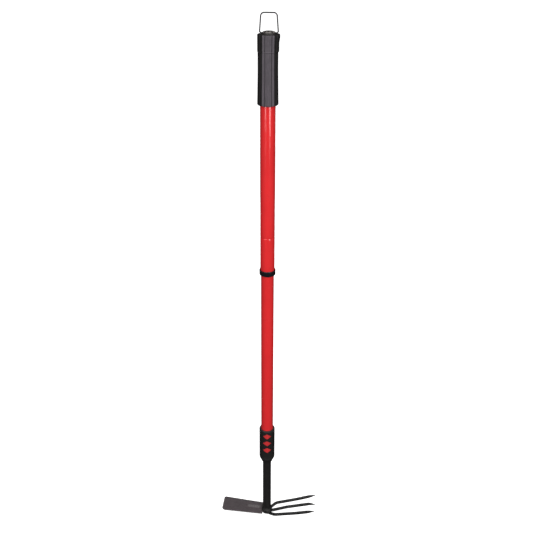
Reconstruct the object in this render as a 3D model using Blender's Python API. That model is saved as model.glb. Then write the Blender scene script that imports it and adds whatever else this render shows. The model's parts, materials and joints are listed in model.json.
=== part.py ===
"""Telescoping hoe and cultivator: a hoe blade and three tines on a twist-lock handle.

Units are metres and +Z runs up the handle.  The origin is on the handle's axis, at the
flat foot of the shank.  The tines point to +X, the hoe blade to -X.
The handle is drawn out to its full length, with its twist lock closed.
"""
from math import ceil, cos, exp, hypot, pi, radians, sin, sqrt, tan

import bmesh
import bpy
from mathutils import Matrix, Vector

MM = 0.001
GAP = 0.3 * MM                  # clearance between two pieces that touch
ROUND = 48                      # sides of a turned piece

# Heights along the handle
SLEEVE_FOOT = 128 * MM
SLEEVE_SHOULDER = 140 * MM
SLEEVE_TOP = 205.5 * MM
INNER_TUBE_FOOT = 141 * MM
INNER_TUBE_TOP = 594 * MM
COLLAR_FOOT = 525.3 * MM
COLLAR_TOP = 534.7 * MM
COLLAR_LIP = 2.7 * MM
CRIMP_HEIGHT = 592 * MM
GRIP_FOOT = 813 * MM
GRIP_WAIST = 871.7 * MM         # the grip flares out from here down to its foot
GRIP_BAND = 892.5 * MM          # lower edge of the grip's thicker top band
GRIP_TOP = 918 * MM
OUTER_TUBE_TOP = 915 * MM
PLUG_FOOT = 907 * MM
LOOP_TOP = 949 * MM

# Radii of the handle's pieces
SHANK_R = 7.95 * MM
INNER_TUBE_R = 11.1 * MM
INNER_TUBE_WALL = 0.9 * MM
OUTER_TUBE_R = 12.15 * MM
OUTER_TUBE_WALL = 0.6 * MM
CRIMP_DEPTH = 0.22 * MM
COLLAR_R = 13.75 * MM
SLEEVE_R = 14.45 * MM
SLEEVE_FOOT_R = 9.1 * MM
GRIP_WAIST_R = 15.6 * MM
GRIP_FOOT_R = 16.5 * MM
GRIP_BAND_R = 16.2 * MM
GRIP_HEEL = 2.0 * MM            # how far the top of the band stands out further towards +X
PIN_HEIGHT = 168 * MM
PIN_R = 2 * MM
BUSH_TOP = 196 * MM
SHANK_TOP = 198 * MM
GRIP_TURN = radians(10)         # how far the grip's front panel is turned from -Y
MARK_TURN = radians(6)          # how far the sleeve's marks are turned from -Y
MARK_MIDDLE = 178.4 * MM        # height of the middle mark
MARK_PITCH = 15.7 * MM
MARK_HALF_WIDE = 8.6 * MM       # along the sleeve's surface
MARK_HALF_TALL = 5.6 * MM
MARK_POCKET = 1.0 * MM          # depth of a mark's pocket

# Twist lock, inside the outer tube above the end of the inner tube
LOCK_FLANGE = 2.2 * MM
EXPANDER_FOOT = 596.8 * MM
EXPANDER_TOP = 608 * MM
EXPANDER_R = 11.2 * MM
EXPANDER_MOUTH_R = 8.7 * MM
EXPANDER_SLIT = 1.6 * MM
CONE_R = 8.6 * MM
CONE_TIP_R = 5.0 * MM
CONE_FOOT = 601.5 * MM
CONE_TOP = 611 * MM
SCREW_HEAD_FOOT = 613.5 * MM
SCREW_HEAD_TOP = 616 * MM
SCREW_HEAD_R = 6.6 * MM
SCREW_CREST_R = 3.9 * MM
THREAD_DEPTH = 0.45 * MM
THREAD_PITCH = 4 * MM
LOCK_PLUG_FOOT = 572 * MM
WASHER_R = 8.2 * MM
WASHER_THICK = 0.9 * MM
NUT_ACROSS_FLATS = 13 * MM
NUT_THICK = 4 * MM
SCREW_FOOT = 564.5 * MM

# Hoe blade
BLADE_AXIS_HEIGHT = 6.6 * MM    # where the blade's plane meets the handle's axis
BLADE_TILT = radians(4.1)       # the blade's outer end is the higher one
BLADE_ROOT_X = -9.4 * MM
BLADE_EDGE_X = -87.6 * MM
BLADE_ROOT_HALF = 15.8 * MM
BLADE_EDGE_HALF = 18.8 * MM
BLADE_THICK = 2.4 * MM
BLADE_EDGE_THICK = 0.7 * MM     # what the grinding leaves at the outer edge
BLADE_CORNER = 5 * MM
BLADE_ROOT_CORNER = 2 * MM
BLADE_GRIND = 6 * MM            # how far the ground edge reaches in
RIB_MIDDLE_X = -26 * MM
RIB_HALF_LONG = 15 * MM
RIB_HALF_WIDE = 5 * MM
RIB_RISE = 1.9 * MM

# Tines
TINE_R = 2.85 * MM
TINE_POINT = 18 * MM            # length of the drawn-out point
TINE_TIP_R = 0.55 * MM

# Boss on the end plug, with its cored-out crown, and the wire loop that swings in it
CAP_SHIFT = 1.3 * MM            # the boss and the loop sit a little towards the grip's heel
BOSS_R = 10 * MM
BOSS_TOP = 921 * MM
CROWN_TOP = 922.8 * MM
POCKET_R = 1.5 * MM
POCKET_FOOT = 920.2 * MM
POCKET_PITCH = 4.75 * MM        # between the three pockets of a row
POCKET_ROW_Y = 6.0 * MM         # of the front and back rows, from the boss's middle
LOOP_WIRE_R = 1 * MM
LOOP_PIVOT = 919.6 * MM         # height of the wire's two toes, which the loop swings on
LOOP_TOE_X = 7.4 * MM           # corner points of the wire's middle line, from the loop's middle
LOOP_FOOT_X = 14.1 * MM
LOOP_FOOT_BEND = 2.5 * MM
LOOP_SHOULDER_X = 11.9 * MM
LOOP_SHOULDER_BEND = 5 * MM


# ---------------------------------------------------------------- materials

def linear(channel):
    """One sRGB channel (0 to 255) as linear light."""
    c = channel / 255
    return c / 12.92 if c <= 0.04045 else ((c + 0.055) / 1.055) ** 2.4


def make_material(name, srgb, roughness, metallic=0.0):
    material = bpy.data.materials.new(name)
    material.use_nodes = True
    shader = material.node_tree.nodes["Principled BSDF"]
    shader.inputs["Base Color"].default_value = [linear(c) for c in srgb] + [1.0]
    shader.inputs["Roughness"].default_value = roughness
    shader.inputs["Metallic"].default_value = metallic
    return material


def make_materials():
    return {
        "red_paint": make_material("red_paint", (214, 32, 34), 0.25),
        "grip_rubber": make_material("grip_rubber", (46, 43, 45), 0.65),
        "collar_plastic": make_material("collar_plastic", (22, 22, 26), 0.22),
        "sleeve_plastic": make_material("sleeve_plastic", (34, 31, 33), 0.5),
        "mark_red": make_material("mark_red", (196, 34, 38), 0.45),
        "coated_wire": make_material("coated_wire", (34, 32, 33), 0.4),
        "cap_plastic": make_material("cap_plastic", (118, 112, 107), 0.5),
        "lock_plastic": make_material("lock_plastic", (225, 222, 212), 0.45),
        "black_steel": make_material("black_steel", (30, 28, 29), 0.35),
        "blade_steel": make_material("blade_steel", (78, 70, 72), 0.5),
        "weld_steel": make_material("weld_steel", (34, 33, 33), 0.45),
        "zinc_steel": make_material("zinc_steel", (176, 178, 180), 0.35, metallic=1.0),
    }


# ---------------------------------------------------------------- mesh tools

def add_object(name, bm, material, smooth_angle=35):
    """Turn a closed bmesh into a named object that is shaded smooth except at its edges."""
    bmesh.ops.recalc_face_normals(bm, faces=bm.faces)
    mesh = bpy.data.meshes.new(name)
    bm.to_mesh(mesh)
    bm.free()
    mesh.materials.append(material)
    mesh.shade_smooth()
    mesh.set_sharp_from_angle(angle=radians(smooth_angle))
    obj = bpy.data.objects.new(name, mesh)
    bpy.context.collection.objects.link(obj)
    return obj


def skin(rings, looped):
    """Skin a stack of rings with equal point counts, looped on itself or capped at its ends."""
    bm = bmesh.new()
    grid = [[bm.verts.new(point) for point in ring] for ring in rings]
    count = len(grid[0])
    pairs = list(zip(grid, grid[1:]))
    if looped:
        pairs.append((grid[-1], grid[0]))
    for lower, upper in pairs:
        for i in range(count):
            j = (i + 1) % count
            bm.faces.new((lower[i], lower[j], upper[j], upper[i]))
    if not looped:
        bm.faces.new(grid[0])
        bm.faces.new(grid[-1])
    return bm


def circle(radius, height, sides=ROUND):
    """A level ring; radius is a number or a function of the angle around +Z."""
    ring = []
    for i in range(sides):
        angle = 2 * pi * i / sides
        r = radius(angle) if callable(radius) else radius
        ring.append(Vector((r * cos(angle), r * sin(angle), height)))
    return ring


def turned(name, profile, material, hollow, sides=ROUND):
    """A piece turned about the handle's axis from (radius, height) points.

    A hollow piece's profile is a closed outline; a solid one's runs from end to end."""
    rings = [circle(radius, height, sides) for radius, height in profile]
    return add_object(name, skin(rings, looped=hollow), material)


def hexagon(across_flats):
    """Outline function of a hexagon around the axis."""
    def radius(angle):
        return across_flats / 2 / cos((angle + pi / 6) % (pi / 3) - pi / 6)
    return radius


def rounded_path(corners, steps=6):
    """Follow 3-D corner points, each given as (point, fillet radius), with round corners."""
    points = [Vector(corner[0]) for corner in corners]
    path = [points[0]]
    for k in range(1, len(points) - 1):
        here = points[k]
        back = (points[k - 1] - here).normalized()
        ahead = (points[k + 1] - here).normalized()
        half = back.angle(ahead) / 2
        radius = corners[k][1]
        setback = radius * cos(half) / sin(half)
        bisector = (back + ahead).normalized()
        centre = here + bisector * radius / sin(half)
        start = here + back * setback - centre
        end = here + ahead * setback - centre
        sweep = start.angle(end)
        for i in range(steps + 1):
            t = i / steps
            mix = (start * sin((1 - t) * sweep) + end * sin(t * sweep)) / sin(sweep)
            path.append(centre + mix)
    path.append(points[-1])
    return path


def resampled(path, spacing):
    """Split the long straight runs of a path so that no step is longer than spacing."""
    fine = [path[0]]
    for a, b in zip(path, path[1:]):
        parts = max(1, ceil((b - a).length / spacing))
        fine.extend(a.lerp(b, i / parts) for i in range(1, parts + 1))
    return fine


def swept(path, section_at, across):
    """Rings of a section carried along an open path, with its first axis held near across.

    section_at(left) gives the section's points, (across, outward), with that much path left."""
    left = [0.0]
    for a, b in zip(path[::-1], path[-2::-1]):
        left.append(left[-1] + (b - a).length)
    left.reverse()
    rings = []
    for i, point in enumerate(path):
        before = path[max(i - 1, 0)]
        after = path[min(i + 1, len(path) - 1)]
        forward = (after - before).normalized()
        outward = forward.cross(across).normalized()
        side = outward.cross(forward)
        rings.append([point + side * s + outward * u for s, u in section_at(left[i])])
    return rings


def rod(radius, start, end, sides=16):
    """A straight cylinder between two points."""
    start, end = Vector(start), Vector(end)
    axis = end - start
    turn = axis.to_track_quat("Z", "Y").to_matrix().to_4x4()
    bm = bmesh.new()
    bmesh.ops.create_cone(bm, cap_ends=True, segments=sides, radius1=radius, radius2=radius,
                          depth=axis.length, matrix=Matrix.Translation((start + end) / 2) @ turn)
    return bm


def cut(target, name, bm):
    """Cut a closed bmesh out of an object; the cutter is left out of the model."""
    bmesh.ops.recalc_face_normals(bm, faces=bm.faces)
    mesh = bpy.data.meshes.new(name)
    bm.to_mesh(mesh)
    bm.free()
    cutter = bpy.data.objects.new(name, mesh)
    bpy.context.collection.objects.link(cutter)
    cutter.hide_render = True
    cutter.display_type = "WIRE"
    boolean = target.modifiers.new(name, "BOOLEAN")
    boolean.operation = "DIFFERENCE"
    boolean.solver = "EXACT"
    boolean.object = cutter


# ---------------------------------------------------------------- handle

def make_outer_tube(mats):
    """Upper tube, rolled inwards at one height so that the lock can't be pulled out."""
    inner = OUTER_TUBE_R - OUTER_TUBE_WALL
    foot = COLLAR_FOOT + COLLAR_LIP + GAP
    # the crimp is a shallow rounded groove; its offsets run from one side to the other
    groove = [(dz * MM, CRIMP_DEPTH * (1 + cos(pi * dz / 2)) / 2) for dz in (-2, -1, 0, 1, 2)]
    outside = [(OUTER_TUBE_R, foot)]
    outside += [(OUTER_TUBE_R - depth, CRIMP_HEIGHT + dz) for dz, depth in groove]
    outside += [(OUTER_TUBE_R, OUTER_TUBE_TOP)]
    inside = [(inner, foot)]
    inside += [(inner - depth, CRIMP_HEIGHT + dz) for dz, depth in groove]
    inside += [(inner, OUTER_TUBE_TOP)]
    turned("outer_tube", outside + inside[::-1], mats["red_paint"], hollow=True)


def make_collar(mats):
    """Guide collar on the outer tube's lower end; its lip guides the inner tube."""
    bore = OUTER_TUBE_R + GAP
    lip = INNER_TUBE_R + GAP
    edge = 0.9 * MM
    profile = [
        (lip, COLLAR_FOOT), (COLLAR_R - edge, COLLAR_FOOT), (COLLAR_R - edge / 4, COLLAR_FOOT + edge / 3),
        (COLLAR_R, COLLAR_FOOT + edge), (COLLAR_R, COLLAR_TOP - edge),
        (COLLAR_R - edge / 4, COLLAR_TOP - edge / 3), (COLLAR_R - edge, COLLAR_TOP),
        (bore, COLLAR_TOP), (bore, COLLAR_FOOT + COLLAR_LIP), (lip, COLLAR_FOOT + COLLAR_LIP),
    ]
    turned("guide_collar", profile, mats["collar_plastic"], hollow=True)


def smooth_step(value, low, high):
    """Rise smoothly from 0 at low to 1 at high."""
    t = min(1.0, max(0.0, (value - low) / (high - low)))
    return t * t * (3 - 2 * t)


def grip_radius(height):
    """Outline radius of the moulded grip at a height, as a function of the angle.

    It has a narrow waist below a thicker top band, and the band stands out towards +X.
    Pairs of flutes bound a panel on the front and on the back."""
    below = max(0.0, (GRIP_WAIST - height) / (GRIP_WAIST - GRIP_FOOT))
    in_band = smooth_step(height, GRIP_BAND - 0.6 * MM, GRIP_BAND + 0.8 * MM)
    base = GRIP_WAIST_R + (GRIP_FOOT_R - GRIP_WAIST_R) * below ** 1.4
    base += (GRIP_BAND_R - base) * in_band
    heel = GRIP_HEEL * in_band * (0.35 + 0.65 * smooth_step(height, GRIP_TOP - 13 * MM, GRIP_TOP - 4 * MM))
    # depth, place and half-width of each flute and ridge, by angle from the panel's middle
    flutes = ((-0.8, 20, 3.2), (0.35, 31, 4.5), (-0.7, 47, 6.0), (-0.4, 70, 5.0))

    def radius(angle):
        from_panel = abs((angle - GRIP_TURN) % pi - pi / 2)
        r = base + heel * max(0.0, cos(angle)) ** 1.5
        for depth, place, half_wide in flutes:
            r += depth * MM * exp(-((from_panel - radians(place)) / radians(half_wide)) ** 2)
        return r
    return radius


def make_grip(mats):
    """Moulded rubber grip, slid over the top of the outer tube."""
    bore = OUTER_TUBE_R + GAP
    sides = 90
    corner = 2.4 * MM
    rings = [circle(bore, GRIP_FOOT, sides)]
    for step in (0.0, 0.35, 0.7, 1.0):
        # a quarter-round edge at the lower end
        inset = corner * (1 - sin(step * pi / 2))
        height = GRIP_FOOT + corner * (1 - cos(step * pi / 2))
        outline = grip_radius(height)
        rings.append(circle(lambda a, f=outline, d=inset: f(a) - d, height, sides))
    below_waist = [GRIP_FOOT + up * (GRIP_WAIST - GRIP_FOOT) for up in (0.3, 0.6, 1.0)]
    for height in below_waist + [GRIP_BAND + rise * MM for rise in (-0.7, 0.1, 0.9, 12, 17, 21)]:
        rings.append(circle(grip_radius(height), height, sides))
    rim = 1.0 * MM
    outline = grip_radius(GRIP_TOP)
    rings.append(circle(outline, GRIP_TOP - rim, sides))
    rings.append(circle(lambda a: outline(a) - rim, GRIP_TOP, sides))
    rings.append(circle(bore, GRIP_TOP, sides))
    add_object("grip", skin(rings, looped=True), mats["grip_rubber"])


def make_end_plug(mats):
    """Moulded plug in the tube's top; its boss is cored out in six pockets and holds the loop."""
    stem = OUTER_TUBE_R - OUTER_TUBE_WALL - GAP
    sides = 40
    edge = 0.5 * MM
    profile = [(stem - 1 * MM, PLUG_FOOT), (stem, PLUG_FOOT + 1 * MM), (stem, OUTER_TUBE_TOP + GAP),
               (OUTER_TUBE_R, OUTER_TUBE_TOP + GAP), (OUTER_TUBE_R, GRIP_TOP)]
    rings = [circle(radius, height, sides) for radius, height in profile]
    boss = [(BOSS_R, GRIP_TOP), (BOSS_R, BOSS_TOP), (BOSS_R - edge, BOSS_TOP + edge / 2)]
    for share in (0.7, 0.4, 0.1):
        # the crown is a shallow cap on the boss
        boss.append((BOSS_R * share, BOSS_TOP + (CROWN_TOP - BOSS_TOP) * sqrt(1 - share ** 2)))
    for radius, height in boss:
        rings.append([point + Vector((CAP_SHIFT, 0, 0)) for point in circle(radius, height, sides)])
    plug = add_object("end_plug", skin(rings, looped=False), mats["cap_plastic"])
    for row, y in (("front", -POCKET_ROW_Y), ("back", POCKET_ROW_Y)):
        for i in (-1, 0, 1):
            x = CAP_SHIFT + i * POCKET_PITCH
            pocket = rod(POCKET_R, (x, y, POCKET_FOOT), (x, y, CROWN_TOP + 1 * MM), sides=12)
            cut(plug, "pocket_%s_%d" % (row, i + 2), pocket)
    for place, side in (("left", -1), ("right", 1)):
        start = (CAP_SHIFT + side * (LOOP_TOE_X - GAP), 0, LOOP_PIVOT)
        end = (CAP_SHIFT + side * (BOSS_R + 1 * MM), 0, LOOP_PIVOT)
        cut(plug, "loop_hole_" + place, rod(LOOP_WIRE_R + GAP, start, end))


def make_hang_loop(mats):
    """Wire loop, flat across the top; its two toes are hooked in to the plug's boss."""
    sides = 12
    top = LOOP_TOP - LOOP_WIRE_R
    right = [((LOOP_TOE_X, 0, LOOP_PIVOT), 0), ((LOOP_FOOT_X, 0, LOOP_PIVOT), LOOP_FOOT_BEND),
             ((LOOP_SHOULDER_X, 0, top), LOOP_SHOULDER_BEND)]
    left = [((-x, y, z), bend) for (x, y, z), bend in reversed(right)]
    path = [point + Vector((CAP_SHIFT, 0, 0)) for point in rounded_path(right + left)]
    section = [(LOOP_WIRE_R * cos(2 * pi * i / sides), LOOP_WIRE_R * sin(2 * pi * i / sides))
               for i in range(sides)]
    rings = swept(path, lambda _left: section, Vector((0, 1, 0)))
    add_object("hang_loop", skin(rings, looped=False), mats["coated_wire"], smooth_angle=50)


# ---------------------------------------------------------------- twist lock

def make_expander(mats):
    """Split sleeve that the cone nut spreads against the outer tube."""
    bore = SCREW_CREST_R + 0.9 * MM
    throat = EXPANDER_FOOT + 3.6 * MM
    edge = 0.6 * MM
    profile = [(bore, EXPANDER_FOOT), (EXPANDER_R - edge, EXPANDER_FOOT),
               (EXPANDER_R, EXPANDER_FOOT + edge), (EXPANDER_R, EXPANDER_TOP - edge),
               (EXPANDER_R - edge, EXPANDER_TOP), (EXPANDER_MOUTH_R, EXPANDER_TOP), (bore, throat)]
    sleeve = turned("expander_sleeve", profile, mats["lock_plastic"], hollow=True, sides=36)
    # the slit runs the whole height on the +X side
    past = 2 * MM
    slit = bmesh.new()
    size = Matrix.Diagonal((EXPANDER_R + past, EXPANDER_SLIT, EXPANDER_TOP - EXPANDER_FOOT + past, 1))
    middle = Matrix.Translation(((EXPANDER_R + past) / 2, 0, (EXPANDER_TOP + EXPANDER_FOOT) / 2))
    bmesh.ops.create_cube(slit, size=1, matrix=middle @ size)
    cut(sleeve, "expander_slit", slit)


def make_cone_nut(mats):
    """Cone nut on the lock screw; it is drawn down into the expander to lock the tubes."""
    bore = SCREW_CREST_R + GAP
    profile = [(bore, CONE_FOOT), (CONE_TIP_R, CONE_FOOT), (EXPANDER_MOUTH_R - 0.8 * MM, EXPANDER_TOP),
               (CONE_R, EXPANDER_TOP + 0.8 * MM), (CONE_R, CONE_TOP), (bore, CONE_TOP)]
    turned("cone_nut", profile, mats["lock_plastic"], hollow=True, sides=36)


def make_lock_screw(mats):
    """Coarse-threaded screw with a round head; its lower end is held in the lock plug."""
    sides = 16

    def thread(height):
        def radius(angle):
            phase = (height / THREAD_PITCH - angle / (2 * pi)) % 1
            return SCREW_CREST_R - THREAD_DEPTH * abs(2 * phase - 1)
        return radius

    core = SCREW_CREST_R - THREAD_DEPTH
    step = THREAD_PITCH / 4
    edge = 0.8 * MM
    thread_foot = SCREW_FOOT + 2 * edge
    levels = int((SCREW_HEAD_FOOT - edge - thread_foot) / step) + 1
    rings = [circle(core - edge, SCREW_FOOT, sides), circle(core, SCREW_FOOT + edge, sides)]
    for height in [thread_foot + i * step for i in range(levels)]:
        rings.append(circle(thread(height), height, sides))
    rings.append(circle(core, SCREW_HEAD_FOOT, sides))
    rings.append(circle(SCREW_HEAD_R, SCREW_HEAD_FOOT, sides))
    rings.append(circle(SCREW_HEAD_R, SCREW_HEAD_TOP - edge, sides))
    rings.append(circle(SCREW_HEAD_R - edge, SCREW_HEAD_TOP, sides))
    add_object("lock_screw", skin(rings, looped=False), mats["zinc_steel"])


def make_lock_plug(mats):
    """Plug pressed into the inner tube's top; its flange is what the crimp stops."""
    bore = SCREW_CREST_R + GAP
    body = INNER_TUBE_R - INNER_TUBE_WALL - GAP
    flange = INNER_TUBE_R + 0.2 * MM
    seat = INNER_TUBE_TOP + GAP
    profile = [(bore, LOCK_PLUG_FOOT), (body - 1 * MM, LOCK_PLUG_FOOT), (body, LOCK_PLUG_FOOT + 1 * MM),
               (body, seat), (flange, seat), (flange, seat + LOCK_FLANGE), (bore, seat + LOCK_FLANGE)]
    turned("lock_plug", profile, mats["lock_plastic"], hollow=True, sides=36)


def make_screw_fasteners(mats):
    """Washer and hexagon nut that hold the lock screw below the plug."""
    bore = SCREW_CREST_R + GAP
    washer_top = LOCK_PLUG_FOOT - GAP
    washer_foot = washer_top - WASHER_THICK
    nut_top = washer_foot - GAP
    nut_foot = nut_top - NUT_THICK
    for name, outline, foot, top in (("screw_washer", WASHER_R, washer_foot, washer_top),
                                     ("screw_nut", hexagon(NUT_ACROSS_FLATS), nut_foot, nut_top)):
        profile = [(bore, foot), (outline, foot), (outline, top), (bore, top)]
        turned(name, profile, mats["zinc_steel"], hollow=True, sides=24)


# ---------------------------------------------------------------- lower tube and neck

def pin_hole(target):
    """Drill the cross hole of the shank pin."""
    reach = INNER_TUBE_R + 2 * MM
    hole = rod(PIN_R + GAP, (0, -reach, PIN_HEIGHT), (0, reach, PIN_HEIGHT))
    cut(target, "pin_hole_" + target.name, hole)


def make_inner_tube(mats):
    bore = INNER_TUBE_R - INNER_TUBE_WALL
    profile = [(INNER_TUBE_R, INNER_TUBE_FOOT), (INNER_TUBE_R, INNER_TUBE_TOP),
               (bore, INNER_TUBE_TOP), (bore, INNER_TUBE_FOOT)]
    tube = turned("inner_tube", profile, mats["red_paint"], hollow=True)
    pin_hole(tube)


def make_shank_bush(mats):
    """Bush that centres the shank in the lower end of the inner tube."""
    outside = INNER_TUBE_R - INNER_TUBE_WALL - GAP
    bore = SHANK_R + GAP
    foot = INNER_TUBE_FOOT + 1 * MM
    profile = [(outside, foot), (outside, BUSH_TOP), (bore, BUSH_TOP), (bore, foot)]
    bush = turned("shank_bush", profile, mats["lock_plastic"], hollow=True)
    pin_hole(bush)


def make_shank(mats):
    """Steel shank, from the head's foot up into the inner tube."""
    edge = 0.8 * MM
    profile = [(SHANK_R - edge, 0), (SHANK_R, edge), (SHANK_R, SHANK_TOP - edge),
               (SHANK_R - edge, SHANK_TOP)]
    shank = turned("shank", profile, mats["black_steel"], hollow=False)
    pin_hole(shank)


def make_shank_pin(mats):
    """Cross pin through the tube, the bush and the shank, hidden by the neck sleeve."""
    half = INNER_TUBE_R - GAP
    pin = rod(PIN_R, (0, -half, PIN_HEIGHT), (0, half, PIN_HEIGHT))
    add_object("shank_pin", pin, mats["zinc_steel"])


def lozenge(height, inner, outer, margin):
    """A curved lozenge plate on the front of the sleeve, widened by margin all round."""
    half_wide = MARK_HALF_WIDE + margin
    half_tall = MARK_HALF_TALL + margin
    blunt = 0.7 * MM
    middle = -pi / 2 + MARK_TURN
    across = 8
    rings = []
    for level in (-1.0, -0.5, 0.0, 0.5, 1.0):
        half = max(half_wide * (1 - abs(level)), blunt) / SLEEVE_R
        angles = [middle - half + 2 * half * i / across for i in range(across + 1)]
        z = height + level * half_tall
        front = [Vector((outer * cos(a), outer * sin(a), z)) for a in angles]
        rear = [Vector((inner * cos(a), inner * sin(a), z)) for a in reversed(angles)]
        rings.append(front + rear)
    return skin(rings, looped=False)


def make_neck_sleeve(mats):
    """Sleeve over the joint of tube and shank, with three lozenge inlays in shallow pockets."""
    tube_bore = INNER_TUBE_R + GAP
    shank_bore = SHANK_R + GAP
    shelf = INNER_TUBE_FOOT - GAP
    edge = 1.6 * MM
    profile = [(shank_bore, SLEEVE_FOOT), (SLEEVE_FOOT_R - 0.6 * MM, SLEEVE_FOOT),
               (SLEEVE_FOOT_R, SLEEVE_FOOT + 0.6 * MM), (SLEEVE_R - 0.5 * MM, SLEEVE_SHOULDER - 1.5 * MM),
               (SLEEVE_R, SLEEVE_SHOULDER)]
    for i in range(4):
        angle = i / 3 * pi / 2
        profile.append((SLEEVE_R - edge * (1 - cos(angle)), SLEEVE_TOP - edge * (1 - sin(angle))))
    profile += [(tube_bore, SLEEVE_TOP), (tube_bore, shelf), (shank_bore, shelf)]
    sleeve = turned("neck_sleeve", profile, mats["sleeve_plastic"], hollow=True, sides=64)
    floor = SLEEVE_R - MARK_POCKET
    for i in range(3):
        height = MARK_MIDDLE + (1 - i) * MARK_PITCH
        add_object("mark_%d" % (i + 1), lozenge(height, floor + GAP, SLEEVE_R, 0), mats["mark_red"])
        cut(sleeve, "mark_pocket_%d" % (i + 1), lozenge(height, floor, SLEEVE_R + 2 * MM, GAP))


# ---------------------------------------------------------------- head

def blade_half_width(x):
    """Half the blade's width at x, with round corners at its two ends."""
    along = (x - BLADE_ROOT_X) / (BLADE_EDGE_X - BLADE_ROOT_X)
    half = BLADE_ROOT_HALF + (BLADE_EDGE_HALF - BLADE_ROOT_HALF) * along
    for end, corner in ((BLADE_EDGE_X, BLADE_CORNER), (BLADE_ROOT_X, BLADE_ROOT_CORNER)):
        short = corner - abs(x - end)
        if short > 0:
            half -= corner - sqrt(corner ** 2 - short ** 2)
    return half


def rib_height(x, y):
    """Pressed stiffening rib on the blade, beside the shank."""
    past_spine = max(0.0, abs(x - RIB_MIDDLE_X) - (RIB_HALF_LONG - RIB_HALF_WIDE))
    distance = hypot(past_spine, y) / RIB_HALF_WIDE
    return RIB_RISE * (1 + cos(pi * distance)) / 2 if distance < 1 else 0.0


def make_hoe_blade(mats):
    """Pressed steel blade, ground to an edge at its outer end."""
    corner_steps = [BLADE_EDGE_X + BLADE_CORNER * (1 - cos(i / 5 * pi / 2)) for i in range(6)]
    rib_foot = RIB_MIDDLE_X - RIB_HALF_LONG
    rib_steps = [rib_foot + i / 14 * 2 * RIB_HALF_LONG for i in range(15)]
    root_steps = [BLADE_ROOT_X - BLADE_ROOT_CORNER * (1 - sin(i / 2 * pi / 2)) for i in range(3)]
    across = 16
    rings = []
    for x in corner_steps + [(BLADE_EDGE_X + rib_foot) / 2] + rib_steps[:-1] + root_steps:
        half = blade_half_width(x)
        # the underside is ground away towards the outer edge
        unground = min(1.0, (x - BLADE_EDGE_X) / BLADE_GRIND)
        thick = BLADE_EDGE_THICK + (BLADE_THICK - BLADE_EDGE_THICK) * unground
        plane = BLADE_AXIS_HEIGHT - x * tan(BLADE_TILT)
        top = [Vector((x, half * sin(pi / 2 * (2 * i / across - 1)), 0)) for i in range(across + 1)]
        for point in top:
            point.z = plane + BLADE_THICK / 2 + rib_height(x, point.y)
        under = [point - Vector((0, 0, thick)) for point in reversed(top)]
        rings.append(top + under)
    add_object("hoe_blade", skin(rings, looped=False), mats["blade_steel"])


def tine_section(left):
    """Round section that is drawn out to a point at the tip."""
    sides = 14
    radius = TINE_TIP_R + (TINE_R - TINE_TIP_R) * sin(pi / 2 * min(1.0, left / TINE_POINT))
    return [(radius * cos(2 * pi * i / sides), radius * sin(2 * pi * i / sides)) for i in range(sides)]


def make_tine(name, corners, side, material):
    """One bent rod; corners are (x, y, z, bend radius) in millimetres, for the +Y side."""
    bends = [(Vector((x, side * y, z)) * MM, bend * MM) for x, y, z, bend in corners]
    bent = rounded_path(bends, steps=4)
    tip = bent[-1]
    # the steps are closer where the point is drawn out
    path = [p for p in resampled(bent, 10 * MM) if (p - tip).length > TINE_POINT]
    path += [p for p in resampled(bent, 2.5 * MM) if (p - tip).length <= TINE_POINT]
    rings = swept(path, tine_section, Vector((0, 1, 0)))
    add_object(name, skin(rings, looped=False), material)


def make_tines(mats):
    """Three cultivator tines: a straight middle one and two that are bent out beside it."""
    middle = [(9.5, 0, 3.4, 0), (40, 0, 15, 120), (84, 0, 27.2, 14), (96, 0, 26.6, 0)]
    outer = [(6.0, 7.9, 3.4, 0), (17, 16.4, 8.3, 12), (60, 19.7, 19.4, 180), (95.2, 22.4, 30.4, 0)]
    make_tine("tine_middle", middle, 1, mats["black_steel"])
    make_tine("tine_left", outer, 1, mats["black_steel"])
    make_tine("tine_right", outer, -1, mats["black_steel"])


def make_welds(mats):
    """Weld bead around the shank above the blade and tines, and the bead under the blade."""
    bore = SHANK_R + GAP
    bead = [(bore, 7.2 * MM), (8.85 * MM, 7.2 * MM), (9.1 * MM, 9 * MM), (9.05 * MM, 12.5 * MM),
            (8.8 * MM, 16 * MM), (8.5 * MM, 19.5 * MM), (bore, 20.2 * MM)]
    turned("head_weld", bead, mats["weld_steel"], hollow=True, sides=40)
    # the lower bead thins out towards the two ends of its arc; (share of its width, height)
    section = [(0, 1.4 * MM), (0.7, 1.8 * MM), (1, 3.6 * MM), (0.7, 5.2 * MM), (0, 5.6 * MM)]
    reach = radians(75)
    steps = 14
    rings = []
    for i in range(steps + 1):
        off = reach * (2 * i / steps - 1)
        width = 2.2 * MM * (0.4 + 0.6 * cos(off))
        outward = Vector((cos(pi + off), sin(pi + off), 0))
        rings.append([outward * (bore + share * width) + Vector((0, 0, z)) for share, z in section])
    add_object("blade_weld", skin(rings, looped=False), mats["weld_steel"])


def main():
    for obj in list(bpy.data.objects):
        bpy.data.objects.remove(obj, do_unlink=True)
    mats = make_materials()
    make_outer_tube(mats)
    make_collar(mats)
    make_grip(mats)
    make_end_plug(mats)
    make_hang_loop(mats)
    make_expander(mats)
    make_cone_nut(mats)
    make_lock_screw(mats)
    make_lock_plug(mats)
    make_screw_fasteners(mats)
    make_inner_tube(mats)
    make_shank_bush(mats)
    make_shank(mats)
    make_shank_pin(mats)
    make_neck_sleeve(mats)
    make_hoe_blade(mats)
    make_tines(mats)
    make_welds(mats)


main()
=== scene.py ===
"""Finished look of the telescoping hoe and cultivator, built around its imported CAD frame."""
import json
from math import atan2, ceil, cos, exp, hypot, pi, radians, sin, sqrt, tan

import bmesh
import bpy
from mathutils import Matrix, Vector, noise


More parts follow.
